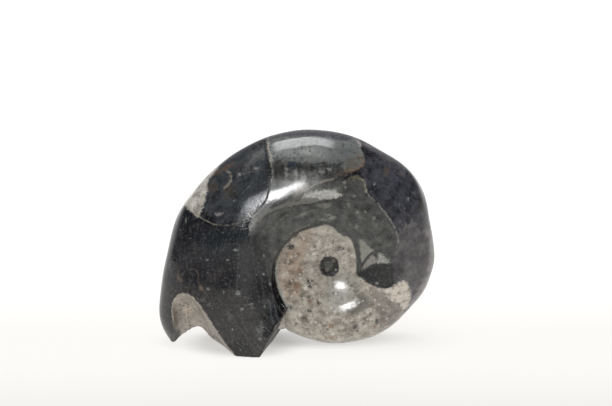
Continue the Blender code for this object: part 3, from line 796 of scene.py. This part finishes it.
# name, edge softness px, wobble px, wobble noise, amount, dark colour, light colour, its noise, roughness.
# A layer without a second colour's noise is drawn in one colour.
colour = blend(seen(32, 35, 44), seen(48, 51, 62), CLOUD)
colour = blend(colour, seen(68, 61, 60), ramp(noise(1.6, 3.0, seed=41.0), 0.50, 0.95, 0.0, 0.75))
BODY_ROUGHNESS = 0.06
LAYERS = [
    ("teal", 8.0, 5.0, "mottle", 0.6, (38, 44, 48), (50, 62, 68), "mottle", None),
    # painted floor reflection: the foot's lower flank is lightened
    ("foot_floor_reflection", 2.4, 2.4, "mottle", 0.9, (48, 48, 46), (70, 68, 65), "fleck", 0.20),
    ("strip", 5.0, 2.5, "mottle", 0.6, (58, 57, 59), (78, 76, 78), "fleck", 0.15),
    ("upper_left", 7.0, 5.0, "mottle", 0.75, (46, 51, 56), (80, 84, 88), "mottle", None),
    ("black_right", 2.5, 2.5, "fleck", 0.9, (30, 31, 38), (84, 85, 94), "mottle", 0.08),
    ("rim_right", 5.0, 4.0, "mottle", 0.65, (90, 89, 95), (112, 110, 116), None, None),
    ("chamber", 1.0, 0.6, "fleck", 1.0, (92, 95, 96), (120, 122, 119), "mottle", 0.06),
    ("chamber_low", 3.0, 3.5, "fleck", 0.9, (42, 43, 46), (84, 84, 81), "fleck", 0.07),
    ("chamber_dark", 1.6, 1.6, "fleck", 0.65, (46, 48, 52), (54, 56, 60), None, None),
    ("chamber_light", 1.5, 1.5, "fleck", 0.6, (138, 139, 135), (146, 147, 143), None, None),
    ("chamber_right", 5.0, 3.0, "mottle", 0.55, (84, 88, 90), (88, 92, 94), None, None),
    ("chamber_dot", 1.6, 1.0, "fleck", 0.8, (50, 56, 66), (70, 76, 86), "fleck", None),
    ("olive", 3.0, 2.0, "fleck", 0.5, (84, 80, 68), (104, 94, 78), "fleck", None),
    ("venter", 1.4, 0.8, "fleck", 0.9, (66, 66, 72), (92, 91, 97), "fleck", 0.25),
    ("ring", 1.2, 0.8, "fleck", 1.0, (52, 54, 51), (97, 98, 94), "mottle", 0.2),
    ("ring_dark", 1.6, 1.4, "fleck", 0.8, (52, 51, 49), (72, 70, 67), "fleck", 0.10),
    ("ring_block", 1.5, 1.0, "fleck", 0.5, (62, 64, 61), (72, 74, 70), None, None),
    ("ring_blue", 1.6, 1.4, "fleck", 0.6, (56, 66, 70), (56, 66, 70), None, None),
    ("shoulder", 5.0, 2.5, "mottle", 0.8, (34, 35, 37), (52, 54, 54), "fleck", 0.16),
    ("right", 1.8, 1.8, "fleck", 1.0, (78, 75, 76), (112, 108, 109), "mottle", 0.25),
    # painted rim reflection along the right outline
    ("right_rim_reflection", 5.0, 3.0, "mottle", 0.85, (148, 143, 142), (164, 159, 158), None, None),
    ("disc", 0.9, 0.8, "fleck", 1.0, (130, 123, 113), (178, 172, 160), "mottle", 0.11),
    ("tan", 5.0, 4.0, "mottle", 0.55, (150, 126, 106), (162, 138, 118), None, None),
    ("disc_brown", 2.2, 2.4, "fleck", 0.7, (104, 91, 81), (122, 107, 95), None, None),
    ("disc_pale", 2.0, 2.4, "fleck", 0.6, (186, 180, 168), (186, 180, 168), None, None),
    # greenish-grey patch with a painted soft glow round the disc's highlight
    ("greenish_patch_and_glow", 5.0, 3.0, "mottle", 0.5, (134, 137, 129), (146, 149, 141), None, None),
    ("diagonal", 2.4, 2.4, "fleck", 0.7, (84, 86, 80), (112, 112, 104), "fleck", None),
    ("low_grey", 4.0, 3.5, "fleck", 0.5, (92, 88, 84), (128, 122, 114), "fleck", None),
    ("ring_edge", 1.4, 1.0, "fleck", 0.8, (40, 42, 41), (50, 52, 50), None, None),
    ("dark_band", 1.2, 1.0, "fleck", 0.85, (56, 57, 56), (78, 79, 76), "fleck", None),
    ("wedge_right", 3.5, 2.6, "fleck", 0.7, (44, 40, 44), (60, 54, 58), None, None),
    ("wedge", 1.0, 1.0, "fleck", 1.0, (2, 2, 2), (8, 8, 8), "mottle", 0.35),
    # black stone plus painted shade in the crevice at the disc's left edge
    ("seam_black_and_shade", 1.2, 0.6, "fleck", 0.9, (22, 22, 25), (34, 36, 38), None, None),
    ("ring_left", 1.6, 1.2, "fleck", 0.65, (104, 102, 94), (126, 123, 114), None, None),
    ("grey_band", 1.2, 1.0, "fleck", 0.8, (106, 105, 98), (128, 126, 118), None, None),
    ("ring_beige", 1.6, 1.4, "fleck", 0.75, (118, 112, 98), (136, 130, 116), None, None),
    # pale band, partly a painted continuation of the flank's highlight
    ("pale_band_and_sheen", 1.8, 1.6, "fleck", 0.95, (144, 143, 135), (192, 191, 183), "fleck", 0.14),
    ("ring_triangle", 0.9, 0.8, "fleck", 0.8, (112, 110, 100), (122, 120, 110), None, None),
    ("pale_green", 1.0, 0.8, "fleck", 0.85, (132, 132, 122), (150, 149, 138), None, None),
    ("pale_small", 1.0, 0.8, "fleck", 0.85, (128, 124, 116), (150, 146, 138), None, None),
    ("pale_patch", 1.2, 1.6, "grain", 0.9, (124, 124, 118), (170, 170, 162), "fleck", None),
    ("calcite", 1.6, 1.2, "fleck", 1.0, (114, 109, 100), (192, 188, 180), "mottle", 0.2),
    ("triangle", 5.0, 2.5, "fleck", 0.7, (96, 99, 98), (120, 122, 119), None, None),
    ("cream", 1.8, 2.0, "fleck", 0.8, (172, 160, 147), (214, 205, 194), "fleck", 0.24),
    ("white_streaks", 1.8, 1.8, "grain", 0.6, (190, 184, 172), (204, 200, 190), None, None),
    ("chip", 0.9, 0.6, "grain", 0.6, (168, 160, 158), (180, 172, 170), None, None),
    ("spot", 1.2, 1.0, "fleck", 1.0, (26, 27, 26), (48, 49, 46), "fleck", 0.2),
    ("spot_middle", 1.8, 1.4, "fleck", 0.8, (76, 79, 74), (90, 92, 87), None, None),
    ("band_above", 0.8, 0.5, "fleck", 0.9, (26, 26, 26), (32, 32, 31), None, None),
    ("band_below", 0.9, 0.5, "fleck", 0.85, (30, 30, 29), (36, 36, 35), None, None),
    ("beige_above", 0.9, 0.7, "fleck", 0.7, (146, 138, 122), (156, 148, 132), None, None),
    ("ring_spots", 1.0, 1.0, "grain", 0.7, (132, 132, 122), (146, 146, 136), None, None),
    ("ring_streaks", 0.9, 0.8, "fleck", 0.45, (112, 112, 103), (120, 120, 110), None, None),
    ("ring_streaks2", 0.9, 0.8, "fleck", 0.5, (118, 116, 105), (126, 124, 112), None, None),
    ("thin_dark", 0.8, 0.4, "fleck", 0.9, (30, 30, 30), (38, 38, 38), None, None),
    ("arc_head", 1.4, 1.4, "fleck", 0.55, (112, 108, 92), (136, 130, 112), None, None),
    ("arc", 0.7, 0.7, "fleck", 0.6, (138, 137, 128), (158, 157, 148), None, None),
    ("suture_shadow", 0.7, 0.3, "fleck", 0.8, (20, 20, 22), (26, 26, 28), None, None),
    ("suture_top", 0.7, 0.5, "fleck", 0.75, (140, 137, 126), (154, 150, 138), None, None),
    ("suture_low", 0.6, 0.5, "fleck", 0.7, (124, 118, 104), (140, 134, 120), None, None),
    ("suture_wide", 1.2, 1.2, "grain", 0.6, (150, 147, 138), (166, 163, 154), None, None),
    ("suture_dark", 0.6, 0.3, "fleck", 0.95, (12, 12, 14), (18, 18, 20), None, 0.55),
    ("crescent", 0.9, 0.8, "fleck", 0.6, (136, 130, 120), (150, 144, 134), None, None),
    ("rust_streak", 1.4, 1.6, "fleck", 0.5, (104, 80, 62), (118, 92, 72), None, None),
    ("rust_faint", 1.6, 1.4, "fleck", 0.3, (84, 64, 60), (96, 74, 68), None, None),
    ("brown_spots", 2.4, 2.4, "fleck", 0.45, (80, 72, 60), (98, 86, 70), None, None),
    ("pale_blob", 1.0, 0.9, "grain", 0.6, (140, 134, 132), (154, 148, 145), None, None),
    ("thin_left", 0.8, 0.7, "fleck", 0.4, (112, 108, 104), (122, 118, 114), None, None),
    ("rust_arc", 1.4, 1.6, "fleck", 0.55, (112, 88, 66), (128, 102, 78), None, None),
    ("rust_tail", 1.6, 1.8, "fleck", 0.4, (100, 86, 74), (112, 96, 82), None, None),
    ("rust_right", 1.0, 1.2, "grain", 0.5, (100, 84, 68), (114, 96, 80), None, None),
    ("olive_right", 0.8, 0.6, "fleck", 0.5, (104, 100, 86), (114, 110, 96), None, None),
    ("dashes", 0.9, 0.7, "grain", 0.4, (140, 134, 134), (152, 144, 144), None, None),
    ("rust_disc", 1.2, 1.6, "grain", 0.8, (112, 90, 72), (132, 108, 86), None, None),
    ("black_disc", 0.9, 1.5, "grain", 0.95, (56, 54, 52), (76, 74, 70), None, None),
    ("white_disc", 1.0, 1.2, "grain", 0.7, (196, 196, 190), (206, 206, 200), None, None),
    ("cream_rim", 0.9, 0.6, "fleck", 0.6, (104, 104, 100), (122, 122, 118), None, None),
    # painted highlights along the disc's left edge
    ("disc_edge_highlight", 0.8, 0.5, "fleck", 1.0, (148, 150, 144), (158, 160, 154), None, None),
    ("disc_edge_highlight_2", 0.7, 0.4, "fleck", 0.6, (114, 114, 108), (130, 130, 124), None, None),
    ("vein", 0.8, 0.8, "fleck", 0.5, (92, 92, 91), (108, 108, 106), None, None),
    ("streak_a", 0.8, 0.9, "grain", 0.4, (84, 86, 88), (92, 94, 96), None, None),
    ("streak_b", 0.8, 0.9, "grain", 0.45, (92, 95, 98), (100, 104, 107), None, None),
    ("streak_c", 0.8, 0.9, "grain", 0.35, (80, 80, 82), (88, 88, 90), None, None),
    ("loop_dark", 2.2, 1.2, "fleck", 0.6, (22, 28, 30), (26, 34, 36), None, None),
    ("rust_loop", 0.8, 0.6, "fleck", 0.5, (108, 94, 80), (120, 104, 88), None, None),
    ("rust_blob", 1.0, 1.2, "grain", 0.55, (116, 98, 80), (128, 110, 92), None, None),
    ("white_dots", 0.8, 0.6, "grain", 0.75, (126, 128, 126), (144, 146, 144), None, None),
    ("grey_dots", 1.2, 1.2, "grain", 0.6, (88, 88, 87), (104, 104, 102), None, None),
    ("blue_streaks", 1.0, 1.2, "grain", 0.5, (92, 100, 106), (104, 112, 118), None, None),
    ("foot_brown", 1.2, 1.2, "grain", 0.5, (92, 78, 72), (104, 90, 82), None, None),
    # painted contact shade along the foot's bottom
    ("foot_contact_shade", 4.0, 3.0, "fleck", 0.85, (24, 24, 24), (40, 40, 38), "fleck", None),
    ("cut_end", 0.2, 0.15, "fleck", 1.0, (44, 40, 38), (78, 68, 63), "fleck", 0.45),
    ("cut_hollow", 0.2, 0.15, "fleck", 1.0, (124, 116, 107), (170, 162, 151), "mottle", 0.5),
    ("tip_dark", 3.0, 2.0, "fleck", 0.8, (34, 34, 36), (56, 55, 55), "fleck", None),
    ("facet_cream", 2.4, 2.0, "fleck", 0.5, (180, 164, 146), (190, 174, 156), None, None),
    ("facet_edge", 0.8, 0.5, "fleck", 0.5, (164, 162, 152), (174, 172, 162), None, None),
]
roughness = None
for name, soft, wobble, by, amount, dark, light, grain, gloss in LAYERS:
    mask = inside(name, soft, wobble, by, amount)
    if grain is None:
        colour = blend(colour, seen(*((a + b) / 2.0 for a, b in zip(dark, light))), mask)
    else:
        colour = blend(colour, seen(*light), mask)
        colour = blend(colour, seen(*dark), math_node("MULTIPLY", mask, NOISES[grain]))
    if gloss is not None:
        node = put("ShaderNodeMix", {"data_type": "FLOAT"})
        tree.links.new(mask, node.inputs[0])
        node.inputs[2].default_value = BODY_ROUGHNESS
        if roughness is not None:
            tree.links.new(roughness, node.inputs[2])
        node.inputs[3].default_value = gloss
        roughness = node.outputs[0]

# specks: small white shells in the black stone, and dark and brown grains in the pale disc


def specks(size, share, reach, seed):
    """Round grains in a share of the cells of that size; 1 inside a grain."""
    shift = put("ShaderNodeVectorMath", {"operation": "ADD"})
    tree.links.new(in_mm, shift.inputs[0])
    shift.inputs[1].default_value = (seed, -seed, seed * 0.5)
    cells = put("ShaderNodeTexVoronoi", {"feature": "F1"}, Scale=1.0 / size, Randomness=1.0)
    tree.links.new(shift.outputs[0], cells.inputs["Vector"])
    pick = put("ShaderNodeSeparateColor")
    tree.links.new(cells.outputs["Color"], pick.inputs[0])
    chosen = ramp(pick.outputs[0], share, share + 0.001, 1.0, 0.0, smooth=False)
    bulk = ramp(cells.outputs["Distance"], reach * 0.6, reach, 1.0, 0.0)
    return math_node("MULTIPLY", chosen, bulk)


on_disc = inside("disc", 0.8, 0.6)
off_disc = math_node("SUBTRACT", 1.0, on_disc)

# growth left faint streaks that run along the coil
track = put("ShaderNodeCombineXYZ")
for socket, name in zip(track.inputs, ("around", "outward")):
    node = put("ShaderNodeAttribute", {"attribute_type": "GEOMETRY", "attribute_name": name})
    tree.links.new(node.outputs["Fac"], socket)
for scale, low, high, shade, amount in ((1.3, 0.54, 0.72, (22, 22, 24), 0.45), (1.9, 0.56, 0.74, (128, 129, 126), 0.22)):
    node = put("ShaderNodeTexNoise", Scale=scale, Detail=4.0, Roughness=0.6)
    tree.links.new(track.outputs[0], node.inputs["Vector"])
    streak = ramp(node.outputs["Fac"], low, high, 0.0, amount)
    colour = blend(colour, seen(*shade), math_node("MULTIPLY", streak, off_disc))
# fine dark and light flecks all over the dark stone
colour = blend(colour, seen(24, 24, 27), math_node("MULTIPLY", off_disc, ramp(GRAIN, 0.50, 1.0, 0.0, 0.30)))
colour = blend(colour, seen(116, 117, 116), math_node("MULTIPLY", off_disc, ramp(noise(0.6, 3.0, seed=61.0), 0.62, 1.0, 0.0, 0.22)))
clumps = ramp(noise(2.0, 4.0, seed=53.0), 0.60, 0.82, 0.0, 0.5)
colour = blend(colour, seen(92, 85, 77), math_node("MULTIPLY", on_disc, clumps))
for size, share, reach, seed, where, shade, amount in (
    (1.5, 0.12, 0.17, 5.0, off_disc, (124, 126, 126), 0.7),
    (0.7, 0.28, 0.34, 8.0, off_disc, (88, 88, 90), 0.55),
    (1.1, 0.34, 0.42, 37.0, off_disc, (74, 73, 75), 0.6),
    (0.7, 0.32, 0.46, 13.0, on_disc, (104, 97, 90), 0.55),
    (1.5, 0.28, 0.46, 17.0, on_disc, (120, 110, 100), 0.5),
    (1.1, 0.28, 0.42, 19.0, on_disc, (192, 188, 180), 0.5),
    (1.7, 0.14, 0.34, 29.0, on_disc, (78, 76, 74), 0.65),
):
    mask = math_node("MULTIPLY", math_node("MULTIPLY", specks(size, share, reach, seed), where), amount)
    colour = blend(colour, seen(*shade), mask)

tree.links.new(colour, shader.inputs["Base Color"])
worn = math_node("ADD", roughness, ramp(GRAIN, 0.0, 1.0, -0.01, 0.03))
node = put("ShaderNodeTexNoise", Scale=2.6, Detail=4.0, Roughness=0.6)
tree.links.new(track.outputs[0], node.inputs["Vector"])
worn = math_node("ADD", worn, ramp(node.outputs["Fac"], 0.50, 0.72, 0.0, 0.10))
tree.links.new(worn, shader.inputs["Roughness"])
shader.inputs["IOR"].default_value = 1.5

bump = put("ShaderNodeBump", Strength=0.25, Distance=0.000016)
tree.links.new(math_node("ADD", GRAIN, math_node("MULTIPLY", FLECK, 1.5)), bump.inputs["Height"])
tree.links.new(bump.outputs[0], shader.inputs["Normal"])


# --- floor --------------------------------------------------------------------------
def plane(name, low, high, height):
    m = bpy.data.meshes.new(name)
    (x0, y0), (x1, y1) = low, high
    m.from_pydata([(x0, y0, height), (x1, y0, height), (x1, y1, height), (x0, y1, height)], [], [(0, 1, 2, 3)])
    obj = bpy.data.objects.new(name, m)
    bpy.context.scene.collection.objects.link(obj)
    return obj


floor = plane("floor", (-0.55, -0.23), (0.55, 3.0), -0.00005)
paper = bpy.data.materials.new("pale_floor")
paper.use_nodes = True
ps = paper.node_tree.nodes["Principled BSDF"]
ps.inputs["Base Color"].default_value = (0.13, 0.122, 0.117, 1.0)
ps.inputs["Roughness"].default_value = 0.9
ps.inputs["Specular IOR Level"].default_value = 0.1
ps.inputs["Emission Color"].default_value = (1.0, 0.99, 0.965, 1.0)
pn, pl = paper.node_tree.nodes, paper.node_tree.links


def floor_ramp(value, low, high, start, end):
    node = pn.new("ShaderNodeMapRange")
    node.interpolation_type = "SMOOTHSTEP"
    for key, number in (("From Min", low), ("From Max", high), ("To Min", start), ("To Max", end)):
        node.inputs[key].default_value = number
    pl.new(value, node.inputs["Value"])
    return node.outputs[0]


def floor_math(operation, a, b):
    node = pn.new("ShaderNodeMath")
    node.operation = operation
    for socket, value in zip(node.inputs, (a, b)):
        if hasattr(value, "is_output"):
            pl.new(value, socket)
        else:
            socket.default_value = value
    return node.outputs[0]


where = pn.new("ShaderNodeTexCoord")
cut_xyz = pn.new("ShaderNodeSeparateXYZ")
pl.new(where.outputs["Object"], cut_xyz.inputs[0])
behind_glow = floor_ramp(cut_xyz.outputs["Y"], 0.0, 0.10, 0.84, 1.05)
front_fade = floor_ramp(cut_xyz.outputs["Y"], -0.17, -0.01, 0.42, 1.0)
# painted contact shadow: the floor's glow is dimmed in two soft ellipses where the stone meets the table
shade = pn.new("ShaderNodeVectorMath")
shade.operation = "MULTIPLY_ADD"
pl.new(where.outputs["Object"], shade.inputs[0])
shade.inputs[1].default_value = (1.0 / 0.030, 1.0 / 0.0095, 0.0)
shade.inputs[2].default_value = (-0.003 / 0.030, -0.0035 / 0.0095, 0.0)
reach = pn.new("ShaderNodeVectorMath")
reach.operation = "LENGTH"
pl.new(shade.outputs[0], reach.inputs[0])
contact_shadow = floor_ramp(reach.outputs["Value"], 0.35, 1.15, 0.66, 1.0)
shade = pn.new("ShaderNodeVectorMath")
shade.operation = "MULTIPLY_ADD"
pl.new(where.outputs["Object"], shade.inputs[0])
shade.inputs[1].default_value = (1.0 / 0.017, 1.0 / 0.0125, 0.0)
shade.inputs[2].default_value = (0.0150 / 0.017, 0.001 / 0.0125, 0.0)
reach = pn.new("ShaderNodeVectorMath")
reach.operation = "LENGTH"
pl.new(shade.outputs[0], reach.inputs[0])
contact_shadow = floor_math("MULTIPLY", contact_shadow, floor_ramp(reach.outputs["Value"], 0.55, 1.15, 0.70, 1.0))
strength = floor_math("MULTIPLY", floor_math("MULTIPLY", behind_glow, front_fade), contact_shadow)
pl.new(strength, ps.inputs["Emission Strength"])
floor.data.materials.append(paper)


# --- light --------------------------------------------------------------------------
def aim(obj, place, target):
    obj.location = place
    way = [t - p for t, p in zip(target, place)]
    flat = math.hypot(way[0], way[1])
    obj.rotation_euler = (math.atan2(flat, -way[2]), 0.0, math.atan2(way[0], -way[1]) + math.pi)


def area_light(name, place, target, size, radiance, colour=(1.0, 1.0, 1.0), spread=math.pi):
    data = bpy.data.lights.new(name, "AREA")
    data.shape = "RECTANGLE"
    data.size, data.size_y = size
    data.energy = radiance * math.pi * size[0] * size[1]
    data.color = colour
    data.spread = spread
    obj = bpy.data.objects.new(name, data)
    aim(obj, place, target)
    bpy.context.scene.collection.objects.link(obj)


def lamp_place(azimuth, elevation, distance):
    """Azimuth from the front, positive to the right."""
    a, e = math.radians(azimuth), math.radians(elevation)
    return (
        distance * math.sin(a) * math.cos(e),
        -distance * math.cos(a) * math.cos(e),
        0.04 + distance * math.sin(e),
    )


MIDDLE = (0.0, 0.0, 0.04)
area_light("top_edge", (-0.045, 0.085, 0.78), (-0.045, 0.085, 0.0), (0.52, 0.035), 12.0)
area_light("top_softbox", (-0.045, -0.112, 0.78), (-0.045, -0.112, 0.0), (0.52, 0.355), 7.7)
area_light("top_front", (-0.075, -0.490, 0.72), (-0.075, -0.390, 0.0), (0.50, 0.36), 1.3)
area_light("lamp_a", lamp_place(-8.8, 9.2, 0.8), MIDDLE, (0.165, 0.13), 30.0)
area_light("lamp_side", lamp_place(-17.5, 9.5, 0.8), MIDDLE, (0.075, 0.10), 7.5, (0.93, 0.96, 1.0))
area_light("lamp_soft", lamp_place(-5, 15, 0.82), MIDDLE, (0.30, 0.26), 1.6)

world = bpy.data.worlds.new("studio")
bpy.context.scene.world = world
world.use_nodes = True
wn, wl = world.node_tree.nodes, world.node_tree.links
wn.clear()
out = wn.new("ShaderNodeOutputWorld")
mix = wn.new("ShaderNodeMixShader")
path = wn.new("ShaderNodeLightPath")
white = wn.new("ShaderNodeBackground")
white.inputs["Strength"].default_value = 1.0
white.inputs["Color"].default_value = (1.0, 1.0, 1.0, 1.0)
room = wn.new("ShaderNodeBackground")
room.inputs["Color"].default_value = (0.98, 0.98, 1.0, 1.0)
coords = wn.new("ShaderNodeTexCoord")
split = wn.new("ShaderNodeSeparateXYZ")
wl.new(coords.outputs["Generated"], split.inputs[0])
low = wn.new("ShaderNodeMapRange")
low.interpolation_type = "SMOOTHSTEP"
low.inputs["From Min"].default_value = 0.0
low.inputs["From Max"].default_value = 0.30
low.inputs["To Min"].default_value = 0.85
low.inputs["To Max"].default_value = 0.22
wl.new(split.outputs["Z"], low.inputs["Value"])
behind = wn.new("ShaderNodeMapRange")
behind.interpolation_type = "SMOOTHSTEP"
behind.inputs["From Min"].default_value = 0.2
behind.inputs["From Max"].default_value = 0.95
behind.inputs["To Min"].default_value = 0.28
behind.inputs["To Max"].default_value = 2.6
wl.new(split.outputs["Y"], behind.inputs["Value"])
both = wn.new("ShaderNodeMath")
both.operation = "MULTIPLY"
wl.new(low.outputs[0], both.inputs[0])
wl.new(behind.outputs[0], both.inputs[1])
wl.new(both.outputs[0], room.inputs["Strength"])
wl.new(path.outputs["Is Camera Ray"], mix.inputs[0])
wl.new(room.outputs[0], mix.inputs[1])
wl.new(white.outputs[0], mix.inputs[2])
wl.new(mix.outputs[0], out.inputs["Surface"])
bpy.context.scene.view_settings.view_transform = "Standard"


# --- camera, where the drawing sheet is seen from -------------------------------------
camera_data = bpy.data.cameras.new("camera")
camera_data.sensor_width = 36.0
camera_data.lens = 36.0 * LENS_PIXELS / 612.0
camera = bpy.data.objects.new("camera", camera_data)
camera.location = (
    (AXIS_X + TARGET_X) * MM,
    -VIEW_DISTANCE * math.cos(ELEVATION) * MM,
    (TARGET_H + VIEW_DISTANCE * math.sin(ELEVATION)) * MM,
)
camera.rotation_euler = (math.pi / 2.0 - ELEVATION, 0.0, 0.0)
bpy.context.scene.collection.objects.link(camera)
bpy.context.scene.camera = camera

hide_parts("goniatite")
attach(stone, "root")
